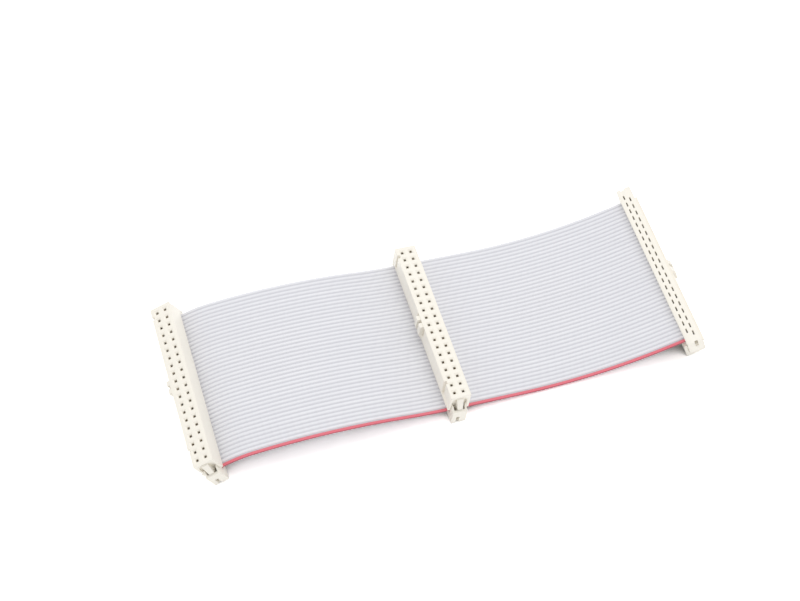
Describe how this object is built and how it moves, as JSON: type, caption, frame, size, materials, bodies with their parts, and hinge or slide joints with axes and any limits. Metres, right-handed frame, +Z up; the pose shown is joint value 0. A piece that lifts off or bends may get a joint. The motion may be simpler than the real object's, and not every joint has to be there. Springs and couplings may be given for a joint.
{
  "type": "ribbon cable",
  "caption": "Short flat ribbon cable with ribbed grey insulation, a coloured edge wire and keyed in-line sockets pressed on at both ends and between.",
  "frame": {"origin": "middle of the cable's footprint on the table, half way between the outermost points of the two end sockets", "axes": "+X along the cable from the left end socket to the right one, +Y across it away from the coloured edge wire, +Z up from the table it lies on"},
  "size_m": [0.1516, 0.0556, 0.0117],
  "materials": {
    "socket_plastic": "satin, moulded",
    "cover_plastic": "satin, moulded",
    "contact_metal": "stamped sheet, partly plated",
    "grey_insulation": "soft satin",
    "red_insulation": "soft satin",
    "core_metal": "tinned copper strands"
  },
  "bodies": {
    "root": {"left_housing": "socket_plastic", "left_cover": "cover_plastic", "left_odd_contacts": "contact_metal", "left_even_contacts": "contact_metal", "middle_housing": "socket_plastic", "middle_cover": "cover_plastic", "middle_odd_contacts": "contact_metal", "middle_even_contacts": "contact_metal", "right_housing": "socket_plastic", "right_cover": "cover_plastic", "right_odd_contacts": "contact_metal", "right_even_contacts": "contact_metal", "ribbon_insulation": "grey_insulation", "edge_wire_insulation": "red_insulation", "wire_cores": "core_metal"}
  },
  "joints": []
}
